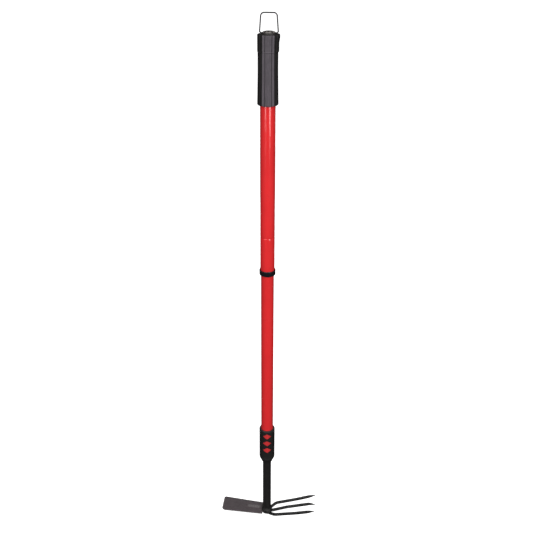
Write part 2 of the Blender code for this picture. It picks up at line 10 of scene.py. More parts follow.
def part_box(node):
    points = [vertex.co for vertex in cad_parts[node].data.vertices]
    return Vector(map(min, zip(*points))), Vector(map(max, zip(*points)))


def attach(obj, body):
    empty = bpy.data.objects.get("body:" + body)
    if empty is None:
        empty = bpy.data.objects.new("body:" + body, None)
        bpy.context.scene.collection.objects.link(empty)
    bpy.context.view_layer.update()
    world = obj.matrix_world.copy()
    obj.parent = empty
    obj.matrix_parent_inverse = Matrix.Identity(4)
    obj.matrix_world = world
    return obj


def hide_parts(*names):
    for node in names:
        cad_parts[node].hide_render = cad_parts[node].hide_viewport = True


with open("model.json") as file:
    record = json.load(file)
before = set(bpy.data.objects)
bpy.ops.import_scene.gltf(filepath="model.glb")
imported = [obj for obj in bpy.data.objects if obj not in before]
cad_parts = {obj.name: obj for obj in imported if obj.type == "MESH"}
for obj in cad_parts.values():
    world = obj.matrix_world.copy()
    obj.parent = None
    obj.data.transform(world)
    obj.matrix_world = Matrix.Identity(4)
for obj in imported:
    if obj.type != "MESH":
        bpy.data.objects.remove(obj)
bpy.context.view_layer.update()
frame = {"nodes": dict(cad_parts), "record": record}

MM = 0.001
SMOOTH = 128                    # sides of the large turned pieces
SMOOTH_SOLID = 96               # sides of the turned pieces that are closed on their axis
PINHOLE = 0.05 * MM             # radius of the last ring where such a piece closes
CAMERA_AZIMUTH = radians(6)     # the camera stands a little towards the tines

UPPER_WALL = 0.6 * MM
LOWER_WALL = 0.9 * MM
TUBE_LIP = 0.25 * MM            # rounding on the tubes' cut ends
FIT = 0.15 * MM                 # gap between a moulding and the tube or rod inside it

GRIP_TURN = radians(7)          # how far the grip's front panel is turned from -Y
PANEL_HALF = radians(37)        # half-width of the grey panel on the narrow part of the grip
PANEL_HALF_BAND = radians(33)   # and on its top band

MARK_TURN = radians(6)          # how far the sleeve's inlays are turned from -Y
MARK_HALF_WIDE = 8.6 * MM       # along the sleeve's surface


# ---------------------------------------------------------------- sizes read from the frame

def turned_size(node):
    """Radius, lowest and highest height of a node that is turned about the handle's axis."""
    low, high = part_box(node)
    return high.y, low.z, high.z


# ---------------------------------------------------------------- materials

class Surface:
    """A procedural Principled material that is built up in layers of noise."""

    def __init__(self, name, color, roughness, metallic=0.0, specular=0.5):
        self.material = bpy.data.materials.new(name)
        self.material.use_nodes = True
        self.tree = self.material.node_tree
        self.shader = self.tree.nodes["Principled BSDF"]
        self.shader.inputs["Roughness"].default_value = roughness
        self.shader.inputs["Metallic"].default_value = metallic
        self.shader.inputs["Specular IOR Level"].default_value = specular
        self.place = self.node("ShaderNodeTexCoord").outputs["Object"]
        self.color = (*color, 1)
        self.rough = None
        self.roughness = roughness
        self.height = None

    def node(self, kind, **settings):
        made = self.tree.nodes.new(kind)
        for key, value in settings.items():
            setattr(made, key, value)
        return made

    def link(self, source, socket):
        self.tree.links.new(source, socket)

    def noise(self, size, detail=3.0, stretch=(1, 1, 1), low=0.35, high=0.65):
        """Noise whose features measure about size metres, spread over 0 to 1."""
        mapping = self.node("ShaderNodeMapping")
        mapping.inputs["Scale"].default_value = [1 / s for s in stretch]
        self.link(self.place, mapping.inputs["Vector"])
        texture = self.node("ShaderNodeTexNoise")
        texture.inputs["Scale"].default_value = 1 / size
        texture.inputs["Detail"].default_value = detail
        self.link(mapping.outputs[0], texture.inputs["Vector"])
        return self.remap(texture.outputs["Fac"], low, high, 0, 1)

    def remap(self, source, low, high, to_low, to_high):
        made = self.node("ShaderNodeMapRange", interpolation_type="SMOOTHSTEP")
        self.link(source, made.inputs["Value"])
        limits = {"From Min": low, "From Max": high, "To Min": to_low, "To Max": to_high}
        for key, value in limits.items():
            made.inputs[key].default_value = value
        return made.outputs["Result"]

    def attribute(self, name):
        return self.node("ShaderNodeAttribute", attribute_name=name).outputs["Fac"]

    def times(self, a, b):
        made = self.node("ShaderNodeMath", operation="MULTIPLY")
        self.link(a, made.inputs[0])
        self.link(b, made.inputs[1])
        return made.outputs[0]

    def tint(self, mask, color, amount=1.0):
        """Mix another colour in where the mask is high."""
        mix = self.node("ShaderNodeMix", data_type="RGBA")
        self.link(self.remap(mask, 0, 1, 0, amount), mix.inputs["Factor"])
        if isinstance(self.color, tuple):
            mix.inputs["A"].default_value = self.color
        else:
            self.link(self.color, mix.inputs["A"])
        mix.inputs["B"].default_value = (*color, 1)
        self.color = mix.outputs["Result"]
        return self

    def roughen(self, mask, change):
        """Raise (or lower) the roughness by change where the mask is high."""
        if self.rough is None:
            self.rough = self.remap(mask, 0, 1, self.roughness, self.roughness + change)
            return self
        step = self.remap(mask, 0, 1, 0, change)
        made = self.node("ShaderNodeMath", operation="ADD", use_clamp=True)
        self.link(self.rough, made.inputs[0])
        self.link(step, made.inputs[1])
        self.rough = made.outputs[0]
        return self

    def emboss(self, mask, depth):
        """Raise the surface by depth metres where the mask is high."""
        scaled = self.remap(mask, 0, 1, 0, depth / MM)
        if self.height is None:
            self.height = scaled
            return self
        made = self.node("ShaderNodeMath", operation="ADD")
        self.link(self.height, made.inputs[0])
        self.link(scaled, made.inputs[1])
        self.height = made.outputs[0]
        return self

    def done(self):
        self.link(self.color, self.shader.inputs["Base Color"])
        if self.rough is not None:
            self.link(self.rough, self.shader.inputs["Roughness"])
        if self.height is not None:
            bump = self.node("ShaderNodeBump")
            bump.inputs["Distance"].default_value = MM
            self.link(self.height, bump.inputs["Height"])
            self.link(bump.outputs[0], self.shader.inputs["Normal"])
        return self.material


def paint(name, color, streaks):
    """Glossy enamel with fine orange peel, hairline scratches and a little dust."""
    s = Surface(name, color, 0.125, specular=0.85)
    s.tint(s.noise(60 * MM, 2), [c * 0.9 for c in color], 0.5)
    s.tint(s.noise(5 * MM, 5, low=0.5, high=0.75), [c * 0.82 + 0.004 for c in color], 0.35)
    s.roughen(s.noise(14 * MM, 4), 0.045)
    scratches = s.noise(0.5 * MM, 2, stretch=(1, 1, 60), low=0.64, high=0.72)
    s.roughen(scratches, 0.12 * streaks)
    s.tint(scratches, [c * 0.6 + 0.05 for c in color], 0.12 * streaks)
    s.emboss(s.noise(1.3 * MM, 1, low=0.2, high=0.8), 0.008 * MM)
    s.emboss(scratches, -0.004 * MM * streaks)
    return s.done()


def rubber(name, color, roughness):
    """Satin rubber with a fine grain, painted shade in its grooves, and paler on its ridges and rims: a
    painted highlight on the ridges, rub wear on the rims.
    """
    s = Surface(name, color, roughness, specular=0.35)
    # painted shade: the grooves, valleys and parting line are painted darker
    s.tint(s.attribute("groove"), [c * 0.35 for c in color], 0.85)
    s.roughen(s.attribute("groove"), 0.15)
    s.tint(s.noise(9 * MM, 4), [c * 0.75 for c in color], 0.6)
    s.tint(s.noise(0.7 * MM, 2, low=0.55, high=0.8), [c * 1.5 + 0.004 for c in color], 0.4)
    # paler where the edge mask is high: a painted highlight on the grip's ridges, and rub wear on its
    # rims
    s.tint(s.attribute("edge"), [c * 1.6 + 0.008 for c in color], 0.5)
    s.roughen(s.noise(6 * MM, 3), 0.12)
    s.roughen(s.attribute("edge"), -0.12)
    s.emboss(s.noise(0.45 * MM, 2), 0.03 * MM)
    return s.done()


def moulding(name, color, roughness, grain, rub_or_highlight=None):
    """Moulded plastic, grained or polished, with painted shade in its hollows and a paler tone on its
    edges: rub wear, and on the end cap's crown a painted highlight.
    """
    s = Surface(name, color, roughness, specular=0.45)
    s.tint(s.noise(12 * MM, 3), [c * 0.85 for c in color], 0.5)
    # paler where the edge mask is high: rub wear, and on the end cap's crown a painted highlight
    s.tint(s.attribute("edge"), rub_or_highlight or [c * 1.6 + 0.011 for c in color], 0.5)
    # painted shade: hollows such as the end cap's pockets are painted near-black
    s.tint(s.attribute("groove"), (0.003, 0.003, 0.003), 1.0)
    s.roughen(s.noise(4 * MM, 4), 0.08)
    s.roughen(s.noise(0.35 * MM, 1, stretch=(1, 1, 14), low=0.6, high=0.75), 0.1)
    s.emboss(s.noise(0.4 * MM, 2), grain)
    return s.done()


def coated_steel(name, color, roughness, bare, lumps):
    """Dark coating on steel, paler towards bare metal by up to bare where the "edge" mask is high:
    wear, and on the blade's rib crest a painted highlight.
    """
    s = Surface(name, color, roughness, specular=0.4)
    s.tint(s.noise(3.5 * MM, 5), [c * 1.35 + 0.002 for c in color], 0.5)
    s.tint(s.noise(22 * MM, 3), [c * 0.8 for c in color], 0.5)
    scratches = s.noise(0.5 * MM, 2, stretch=(50, 1, 25), low=0.6, high=0.72)
    s.tint(scratches, [c * 1.7 + 0.006 for c in color], 0.45)
    s.roughen(scratches, 0.1)
    speckle = s.noise(0.9 * MM, 4, low=0.56, high=0.7)
    s.tint(speckle, [c * 1.5 + 0.004 for c in color], 0.3)
    # bare-metal tone where the edge mask is high: wear, and on the blade's rib crest a painted
    # highlight
    wear_and_highlight = s.times(s.attribute("edge"), s.noise(2.2 * MM, 5, low=0.3, high=0.55))
    s.tint(wear_and_highlight, (0.30, 0.29, 0.28), bare)
    s.roughen(s.noise(5 * MM, 4), 0.14)
    s.roughen(wear_and_highlight, -0.08)
    s.emboss(s.noise(1.1 * MM, 3), lumps)
    s.emboss(wear_and_highlight, -0.02 * MM)
    return s.done()


def plated_steel(name):
    """Zinc plating with fine turning marks."""
    s = Surface(name, (0.47, 0.48, 0.49), 0.3, metallic=1.0)
    s.tint(s.noise(3 * MM, 4), (0.36, 0.36, 0.34), 0.6)
    s.roughen(s.noise(0.25 * MM, 2, stretch=(12, 12, 1)), 0.2)
    s.emboss(s.noise(0.25 * MM, 2, stretch=(12, 12, 1)), 0.006 * MM)
    return s.done()


def natural_nylon(name):
    """Unpigmented nylon with faint flow marks."""
    s = Surface(name, (0.72, 0.70, 0.62), 0.42)
    s.tint(s.noise(5 * MM, 4, stretch=(1, 1, 3)), (0.60, 0.56, 0.46), 0.5)
    s.roughen(s.noise(2 * MM, 3), 0.12)
    s.emboss(s.noise(0.5 * MM, 2), 0.012 * MM)
    return s.done()


def make_surfaces():
    red = (0.79, 0.028, 0.031)
    # painted highlight: pale tone for the end cap's crown, over the cap's dark body
    crown_highlight = (0.36, 0.33, 0.31)
    return {
        "red_paint": paint("red_paint", red, streaks=0.4),
        "red_paint_slid": paint("red_paint_slid", red, streaks=1.0),
        "grip_rubber": rubber("grip_rubber", (0.011, 0.0098, 0.0100), 0.6),
        "grip_panel": rubber("grip_panel", (0.085, 0.074, 0.086), 0.62),
        "collar_plastic": moulding("collar_plastic", (0.008, 0.008, 0.010), 0.16, 0.002 * MM),
        "sleeve_plastic": moulding("sleeve_plastic", (0.0125, 0.0115, 0.0115), 0.46, 0.03 * MM),
        "mark_red": moulding("mark_red", (0.60, 0.030, 0.032), 0.42, 0.012 * MM),
        "cap_plastic": moulding("cap_plastic", (0.040, 0.036, 0.034), 0.45, 0.015 * MM, crown_highlight),
        "coated_wire": coated_steel("coated_wire", (0.013, 0.012, 0.0125), 0.36, 0.0, 0.006 * MM),
        "black_steel": coated_steel("black_steel", (0.0135, 0.0128, 0.0125), 0.34, 0.5, 0.02 * MM),
        # painted shade: a darker copy of black_steel for the tines, offsetting the light they get from
        # above
        "tine_steel_shaded": coated_steel("tine_steel_shaded", (0.0062, 0.0058, 0.0057), 0.42, 0.4, 0.02 * MM),
        "blade_steel": coated_steel("blade_steel", (0.066, 0.053, 0.057), 0.5, 0.35, 0.03 * MM),
        "weld_steel": coated_steel("weld_steel", (0.0075, 0.0070, 0.0070), 0.42, 0.12, 0.02 * MM),
        "zinc_steel": plated_steel("zinc_steel"),
        "lock_plastic": natural_nylon("lock_plastic"),
    }


# ---------------------------------------------------------------- mesh tools

def evenly(low, high, count):
    """Values from low to high in count equal steps, both ends included."""
    return [low + (high - low) * i / count for i in range(count + 1)]


def quarter_turn(steps):
    """Angles from 0 to a quarter turn in equal steps, both ends included."""
    return [i / steps * pi / 2 for i in range(steps + 1)]


def circle(radius, height, sides=SMOOTH):
    """A level ring; radius is a number or a function of the angle around +Z."""
    ring = []
    for i in range(sides):
        angle = 2 * pi * i / sides
        r = radius(angle) if callable(radius) else radius
        ring.append(Vector((r * cos(angle), r * sin(angle), height)))
    return ring


def skin(rings, looped=False):
    """Skin a stack of rings with equal point counts, looped on itself or capped at its ends."""
    bm = bmesh.new()
    grid = [[bm.verts.new(point) for point in ring] for ring in rings]
    count = len(grid[0])
    pairs = list(zip(grid, grid[1:]))
    if looped:
        pairs.append((grid[-1], grid[0]))
    for lower, upper in pairs:
        for i in range(count):
            j = (i + 1) % count
            bm.faces.new((lower[i], lower[j], upper[j], upper[i]))
    if not looped:
        bm.faces.new(grid[0])
        bm.faces.new(grid[-1])
    return bm


def arc(centre, start, end, steps):
    """Points on the arc between two equally long arms from its centre."""
    sweep = start.angle(end)
    points = []
    for i in range(steps + 1):
        t = i / steps
        points.append(centre + (start * sin((1 - t) * sweep) + end * sin(t * sweep)) / sin(sweep))
    return points


def rounded(corners, closed, steps=5):
    """Points along an outline of (radius, height, fillet) corners, each rounded by its fillet."""
    outline = []
    for i, (r, z, fillet) in enumerate(corners):
        here = Vector((r, z))
        if fillet == 0 or (not closed and i in (0, len(corners) - 1)):
            outline.append(here)
            continue
        back = Vector(corners[i - 1][:2]) - here
        ahead = Vector(corners[(i + 1) % len(corners)][:2]) - here
        half = back.angle(ahead) / 2
        share = 0.48                # of a side that one fillet may take
        reach = min(fillet / tan(half), share * back.length, share * ahead.length)
        fillet = reach * tan(half)
        centre = here + (back.normalized() + ahead.normalized()).normalized() * fillet / sin(half)
        start = here + back.normalized() * reach - centre
        end = here + ahead.normalized() * reach - centre
        outline += arc(centre, start, end, steps)
    return outline


def stepped(outline, closed, longest):
    """Split an outline's long runs so that no step is longer than longest."""
    ends = outline[1:] + (outline[:1] if closed else [])
    fine = [] if closed else [outline[0]]
    for a, b in zip(outline, ends):
        parts = max(1, ceil((b - a).length / longest))
        fine.extend(a.lerp(b, k / parts) for k in range(1, parts + 1))
    return fine


def turned(corners, sides=SMOOTH, longest=25 * MM):
    """A hollow bmesh turned about the handle's axis from (radius, height, fillet) corners."""
    outline = stepped(rounded(corners, closed=True), True, longest)
    return skin([circle(r, z, sides) for r, z in outline], looped=True)


def solid_rings(corners, longest):
    """Rings of a piece turned like that whose outline starts or ends on the axis."""
    outline = stepped(rounded(corners, closed=False), False, longest)
    return [circle(max(r, PINHOLE), z, SMOOTH_SOLID) for r, z in outline]


def bent_path(corners, steps=12):
    """Follow 3-D corner points, each given as (point, bend radius), with round bends."""
    points = [Vector(point) for point, _ in corners]
    path = [points[0]]
    for k in range(1, len(points) - 1):
        here = points[k]
        back = (points[k - 1] - here).normalized()
        ahead = (points[k + 1] - here).normalized()
        half = back.angle(ahead) / 2
        radius = corners[k][1]
        centre = here + (back + ahead).normalized() * radius / sin(half)
        start = here + back * radius / tan(half) - centre
        end = here + ahead * radius / tan(half) - centre
        path += arc(centre, start, end, steps)
    path.append(points[-1])
    return path


def swept(path, radius_at, across, sides=24):
    """A round rod along a path; radius_at(left) is its radius with that much path left."""
    left = [0.0]
    for a, b in zip(path[::-1], path[-2::-1]):
        left.append(left[-1] + (b - a).length)
    left.reverse()
    rings = []
    for i, point in enumerate(path):
        forward = (path[min(i + 1, len(path) - 1)] - path[max(i - 1, 0)]).normalized()
        outward = forward.cross(across).normalized()
        side = outward.cross(forward)
        radius = radius_at(left[i])
        angles = [2 * pi * k / sides for k in range(sides)]
        rings.append([point + side * radius * cos(a) + outward * radius * sin(a) for a in angles])
    return skin(rings)


def rod(radius, start, end, sides=32):
    """A straight cylinder between two points, as a bmesh."""
    start, end = Vector(start), Vector(end)
    turn = (end - start).to_track_quat("Z", "Y").to_matrix().to_4x4()
    bm = bmesh.new()
    bmesh.ops.create_cone(bm, cap_ends=True, segments=sides, radius1=radius, radius2=radius,
                          depth=(end - start).length,
                          matrix=Matrix.Translation((start + end) / 2) @ turn)
    return bm


def as_object(name, bm):
    bmesh.ops.recalc_face_normals(bm, faces=bm.faces)
    mesh = bpy.data.meshes.new(name)
    bm.to_mesh(mesh)
    bm.free()
    obj = bpy.data.objects.new(name, mesh)
    bpy.context.scene.collection.objects.link(obj)
    return obj


def freeze(obj):
    """Replace an object's mesh by what its modifiers make of it."""
    graph = bpy.context.evaluated_depsgraph_get()
    made = bpy.data.meshes.new_from_object(obj.evaluated_get(graph))
    obj.modifiers.clear()
    obj.data = made


def cut(obj, cutters):
    """Cut closed bmeshes out of an object."""
    for bm in cutters:
        tool = as_object("cutter", bm)
        boolean = obj.modifiers.new("cut", "BOOLEAN")
        boolean.operation = "DIFFERENCE"
        boolean.solver = "EXACT"
        boolean.object = tool
        freeze(obj)
        bpy.data.objects.remove(tool)


def mask(mesh, name, value):
    """Store a 0 to 1 mask on the mesh's points: a function of the point, or None for 0."""
    made = mesh.attributes.new(name, "FLOAT", "POINT")
    if value is not None:
        made.data.foreach_set("value", [min(1.0, max(0.0, value(v.co))) for v in mesh.vertices])


def finish_piece(obj, body, materials, nodes, edge=None, sharp=40):
    """Shade a piece, give it its materials and wear, and hang it on its body."""
    mesh = obj.data
    mesh.materials.clear()
    for material in materials:
        mesh.materials.append(material)
    mesh.shade_smooth()
    mesh.set_sharp_from_angle(angle=radians(sharp))
    mask(mesh, "edge", edge)
    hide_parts(*nodes)
    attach(obj, body)
    return obj


def near(value, place, reach):
    """1 at a place, falling smoothly to almost 0 a little past reach from it."""
    return exp(-((value - place) / reach) ** 2 * 2)


def worn_rims(*rims):
    """Wear mask that is high near certain heights, given as (height, reach)."""
    return lambda co: max(near(co.z, height, reach) for height, reach in rims)


def smooth_step(value, low, high):
    """Rise smoothly from 0 at low to 1 at high."""
    t = min(1.0, max(0.0, (value - low) / (high - low)))
    return t * t * (3 - 2 * t)


# ---------------------------------------------------------------- handle

def crimped(radius, foot, top, crimp_height):
    """Outline of the upper tube, with a rolled groove around its outside."""
    reach, depth, steps = 1.7 * MM, 0.36 * MM, 12
    outside = [(radius, foot, TUBE_LIP)]
    for t in evenly(-1, 1, steps):
        outside.append((radius - depth * (1 + cos(pi * t)) / 2, crimp_height + t * reach, 0))
    bore = radius - UPPER_WALL
    return outside + [(radius, top, TUBE_LIP), (bore, top, TUBE_LIP), (bore, foot, TUBE_LIP)]


def make_outer_tube(looks):
    radius, foot, top = turned_size("outer_tube")
    crimp_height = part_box("lock_plug")[1].z - 2.2 * MM      # near the lock plug's flange
    tube = as_object("upper_tube", turned(crimped(radius, foot, top, crimp_height)))
    finish_piece(tube, "handle", [looks["red_paint"]], ["outer_tube"])


def make_inner_tube(looks):
    radius, foot, top = turned_size("inner_tube")
    bore = radius - LOWER_WALL
    corners = [(r, z, TUBE_LIP) for r, z in ((radius, foot), (radius, top), (bore, top), (bore, foot))]
    tube = as_object("lower_tube", turned(corners))
    drill_pin_hole(tube)
    finish_piece(tube, "tool", [looks["red_paint_slid"]], ["inner_tube"])


def drill_pin_hole(obj):
    """Cross hole of the shank pin, a little wider than the pin."""
    low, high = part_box("shank_pin")
    height = (low.z + high.z) / 2
    radius = (high.z - low.z) / 2 + 0.3 * MM
    reach = high.y + 3 * MM
    cut(obj, [rod(radius, (0, -reach, height), (0, reach, height))])


def make_collar(looks):
    """Glossy collar with rounded shoulders and an inner lip."""
    radius, foot, top = turned_size("guide_collar")
    tube_radius, tube_foot, _ = turned_size("outer_tube")
    bore = tube_radius + 0.12 * MM
    lip_bore = turned_size("inner_tube")[0] + 0.25 * MM
    lip_top = tube_foot - 0.15 * MM
    shoulder = 1.15 * MM
    corners = [(lip_bore, foot, 0.3 * MM), (radius, foot, shoulder), (radius, top, shoulder),
               (bore, top, 0.2 * MM), (bore, lip_top, 0.1 * MM), (lip_bore, lip_top, 0.2 * MM)]
    collar = as_object("slide_collar", turned(corners, longest=2 * MM))
    edge = worn_rims((foot, 1.2 * MM), (top, 1.2 * MM))
    finish_piece(collar, "handle", [looks["collar_plastic"]], ["guide_collar"], edge)


class GripShape:
    """Outline of the moulded grip: flared foot, waist, and a band that stands out to +X."""

    # places in degrees from the panel's middle
    CREASE, VALLEY, RIDGE = 7, 20, 31
    # depth in mm, place and half-width in degrees of each flute (below 0) and ridge
    FLUTES = ((-1.1, VALLEY, 2.4), (-0.18, CREASE, 2.0), (0.35, RIDGE, 4.5),
              (-0.7, 47, 6.0), (-0.4, 70, 5.0))
    PARTING_DEPTH = 0.35 * MM       # of the groove along the panel's edge
    PARTING_HALF = radians(1.1)

    def __init__(self):
        low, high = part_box("grip")
        self.foot, self.top = low.z, high.z
        self.band_radius = -low.x - 0.3 * MM
        self.heel = 2.0 * MM
        self.foot_radius = self.band_radius + 0.3 * MM
        self.waist_radius = self.band_radius - 0.6 * MM
        self.band = self.top - 25.5 * MM
        self.waist = self.top - 46.3 * MM

    def from_panel(self, angle):
        """Angle from the middle of the nearer panel."""
        return abs((angle - GRIP_TURN) % pi - pi / 2)

    def in_band(self, height):
        return smooth_step(height, self.band - 0.9 * MM, self.band + 0.6 * MM)

    def panel_half(self, height):
        return PANEL_HALF + (PANEL_HALF_BAND - PANEL_HALF) * self.in_band(height)

    def radius(self, angle, height):
        below = max(0.0, (self.waist - height) / (self.waist - self.foot))
        in_band = self.in_band(height)
        base = self.waist_radius + (self.foot_radius - self.waist_radius) * below ** 1.4
        base += (self.band_radius - base) * in_band
        near_top = smooth_step(height, self.top - 13 * MM, self.top - 4 * MM)
        heel = self.heel * in_band * (0.35 + 0.65 * near_top)
        r = base + heel * max(0.0, cos(angle)) ** 1.5
        off = self.from_panel(angle)
        for depth, place, half_wide in self.FLUTES:
            r += depth * MM * exp(-((off - radians(place)) / radians(half_wide)) ** 2)
        past_edge = off - self.panel_half(height)
        return r - self.PARTING_DEPTH * exp(-(past_edge / self.PARTING_HALF) ** 2)


def make_grip(looks):
    """Two-colour rubber grip; the grey panels are faces of the same moulding."""
    shape = GripShape()
    sides = 360
    bore = turned_size("outer_tube")[0] + FIT
    corner, rim = 2.4 * MM, 1.1 * MM
    rings = [circle(bore, shape.foot + 0.3 * MM, sides), circle(bore + 0.4 * MM, shape.foot, sides)]

    def ring(height, inset=0.0):
        return circle(lambda angle: shape.radius(angle, height) - inset, height, sides)

    for turn in quarter_turn(8):
        rings.append(ring(shape.foot + corner * (1 - cos(turn)), corner * (1 - sin(turn))))
    rings += [ring(z) for z in evenly(shape.foot + corner, shape.band - 2 * MM, 26)[1:]]
    # close rings where the band steps out
    step_out = (-1.5, -1.2, -0.9, -0.6, -0.3, 0, 0.3, 0.6, 0.9, 1.3)
    rings += [ring(shape.band + dz * MM) for dz in step_out]
    rings += [ring(z) for z in evenly(shape.band + 2 * MM, shape.top - rim, 10)]
    for turn in quarter_turn(6)[1:]:
        rings.append(ring(shape.top - rim + rim * sin(turn), rim * (1 - cos(turn))))
    rings.append(circle(bore + 0.3 * MM, shape.top, sides))
    rings.append(circle(bore, shape.top - 0.3 * MM, sides))
    grip = as_object("grip_moulding", skin(rings, looped=True))

    rims = worn_rims((shape.foot, 2 * MM), (shape.top, 1.2 * MM), (shape.band + 0.6 * MM, 0.8 * MM))

    # painted highlight: the ridges are painted paler; the rims are paler from wear
    def edge(co):
        off = shape.from_panel(atan2(co.y, co.x))
        return max(0.8 * near(off, radians(shape.RIDGE), radians(5)), rims(co))

    # painted shade: this mask marks the valleys, crease and parting line, which are painted darker
    def groove(co):
        off = shape.from_panel(atan2(co.y, co.x))
        valley = near(off, radians(shape.VALLEY), radians(3))
        crease = 0.4 * near(off, radians(shape.CREASE), radians(3))
        return max(valley, crease, near(off, shape.panel_half(co.z), radians(2)))

    materials = [looks["grip_rubber"], looks["grip_panel"]]
    finish_piece(grip, "handle", materials, ["grip"], edge, 50)
    mask(grip.data, "groove", groove)
    for face in grip.data.polygons:
        x, y, z = face.center
        outside = hypot(x, y) > shape.waist_radius - 2.4 * MM
        on_panel = shape.from_panel(atan2(y, x)) < shape.panel_half(z)
        face.material_index = 1 if outside and on_panel and z < shape.top - 0.6 * MM else 0


def make_end_plug(looks):
    """Plug with a crowned boss, cored out in six pockets, and the two holes of the wire loop."""
    low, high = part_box("end_plug")
    tube_radius, _, tube_top = turned_size("outer_tube")
    stem = tube_radius - 0.9 * MM                   # clear of the upper tube's bore
    flange_foot = tube_top + 0.2 * MM
    top = turned_size("grip")[2]
    corners = [(0, low.z, 0), (stem - 0.8 * MM, low.z, 0.2 * MM), (stem, low.z + 1 * MM, 0.3 * MM),
               (stem, flange_foot, 0), (tube_radius, flange_foot, 0.1 * MM),
               (tube_radius, top, 0.3 * MM), (stem - 0.5 * MM, top, 0)]
    rings = solid_rings(corners, 3 * MM)

    boss_radius, boss_top, shift = 10 * MM, top + 2.1 * MM, loop_middle()
    crown = high.z - boss_top
    boss = [(boss_radius, top), (boss_radius, boss_top - 0.2 * MM)]
    for turn in quarter_turn(16)[:-1]:
        boss.append((boss_radius * cos(turn), boss_top + crown * sin(turn)))
    boss.append((0.1 * MM, high.z))
    for r, z in boss:
        rings.append([point + Vector((shift, 0, 0)) for point in circle(r, z, SMOOTH_SOLID)])
    plug = as_object("end_cap", skin(rings))

    pocket_radius, pocket_foot = 1.8 * MM, top + 1.4 * MM
    pitch, row_offset = 4.9 * MM, 6.3 * MM
    pockets = [(shift + i * pitch, row * row_offset) for row in (-1, 1) for i in (-1, 0, 1)]
    cutters = [rod(pocket_radius, (x, y, pocket_foot), (x, y, high.z + 1 * MM)) for x, y in pockets]
    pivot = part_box("hang_loop")[0].z + 1 * MM
    toe_hole = 1.25 * MM
    for side in (-1, 1):
        inner, outer = shift + side * 7 * MM, shift + side * 11 * MM
        cutters.append(rod(toe_hole, (inner, 0, pivot), (outer, 0, pivot)))
    cut(plug, cutters)

    # painted highlight: the crown is painted a pale tone
    def edge(co):
        return smooth_step(co.z, boss_top - 0.1 * MM, boss_top + 0.9 * MM)

    # painted shade: this marks the pockets, which are painted near-black
    def hollow(co):
        if co.z < pocket_foot - 0.1 * MM:
            return 0.0
        nearest = min(hypot(co.x - x, co.y - y) for x, y in pockets)
        return float(nearest < pocket_radius + 0.02 * MM)

    finish_piece(plug, "handle", [looks["cap_plastic"]], ["end_plug"], edge)
    mask(plug.data, "groove", hollow)


def loop_middle():
    """How far the wire loop's middle is from the handle's axis."""
    low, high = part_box("hang_loop")
    return (low.x + high.x) / 2


def make_hang_loop(looks):
    """Wire loop with a flat top; its toes turn in to the plug's boss."""
    low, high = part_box("hang_loop")
    radius = (high.y - low.y) / 2
    middle, half = loop_middle(), (high.x - low.x) / 2
    pivot, top = low.z + radius, high.z - radius
    toe_x, foot_x, top_x = 7.4 * MM, half - radius + 0.12 * MM, 11.9 * MM
    foot_bend, top_bend = 2.5 * MM, 5 * MM
    right = [((toe_x, 0, pivot), 0), ((foot_x, 0, pivot), foot_bend), ((top_x, 0, top), top_bend)]
    corners = right + [((-x, y, z), bend) for (x, y, z), bend in reversed(right)]
    path = [point + Vector((middle, 0, 0)) for point in bent_path(corners)]
    wire = as_object("wire_loop", swept(path, lambda left: radius, Vector((0, 1, 0))))
    finish_piece(wire, "loop", [looks["coated_wire"]], ["hang_loop"], sharp=60)


# ---------------------------------------------------------------- neck

def lozenge(node, inner, outer, margin):
    """A curved lozenge as large as its CAD node, on the front of the sleeve.

    It is a pocket's cutter when it has a margin, and else an inlay whose rim is sunk a little.
    """
    low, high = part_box(node)
    sleeve_radius = turned_size("neck_sleeve")[0]
    half_wide = MARK_HALF_WIDE + margin
    half_tall = (high.z - low.z) / 2 + margin
    middle = -pi / 2 + MARK_TURN
    height = (low.z + high.z) / 2
    blunt, rim_sink, rim_start = 0.35 * MM, 0.28 * MM, 0.8
    spread = evenly(-1, 1, 24)
    rings = []
    for level in evenly(-1, 1, 24):
        half = (blunt + (half_wide - blunt) * (1 - abs(level))) / sleeve_radius
        angles = [middle + half * t for t in spread]
        z = height + level * half_tall
        front = []
        for t, angle in zip(spread, angles):
            into_rim = max(0.0, (max(abs(t), abs(level)) - rim_start) / (1 - rim_start))
            r = outer - (0 if margin else rim_sink * into_rim ** 2)
            front.append(Vector((r * cos(angle), r * sin(angle), z)))
        rear = [Vector((inner * cos(angle), inner * sin(angle), z)) for angle in angles[::-1]]
        rings.append(front + rear)
    return skin(rings)


def make_neck_sleeve(looks):
    """Sleeve with a tapered foot and a rounded top, and its three inlays in shallow pockets."""
    radius, foot, top = turned_size("neck_sleeve")
    tube_radius, tube_foot, _ = turned_size("inner_tube")
    shank_radius = turned_size("shank")[0]
    bore, shank_bore = tube_radius + FIT, shank_radius + FIT
    shelf = tube_foot - 0.2 * MM
    taper_top = foot + 12 * MM
    corners = [(shank_bore, foot, 0.2 * MM), (shank_radius + 1.2 * MM, foot, 0.5 * MM),
               (radius, taper_top, 3 * MM), (radius, top, 1.8 * MM), (bore, top, 0.4 * MM),
               (bore, shelf, 0), (shank_bore, shelf, 0)]
    sleeve = as_object("neck_sleeve_moulding", turned(corners, sides=192, longest=6 * MM))
    marks = ("mark_1", "mark_2", "mark_3")
    cut(sleeve, [lozenge(node, radius - 1 * MM, radius + 1 * MM, 0.12 * MM) for node in marks])
    edge = worn_rims((top, 1.5 * MM), (taper_top, 2 * MM))
    finish_piece(sleeve, "tool", [looks["sleeve_plastic"]], ["neck_sleeve"], edge, 30)
    for node in marks:
        mark = as_object(node + "_inlay", lozenge(node, radius - 0.9 * MM, radius - 0.02 * MM, 0))
        finish_piece(mark, "tool", [looks["mark_red"]], [node])


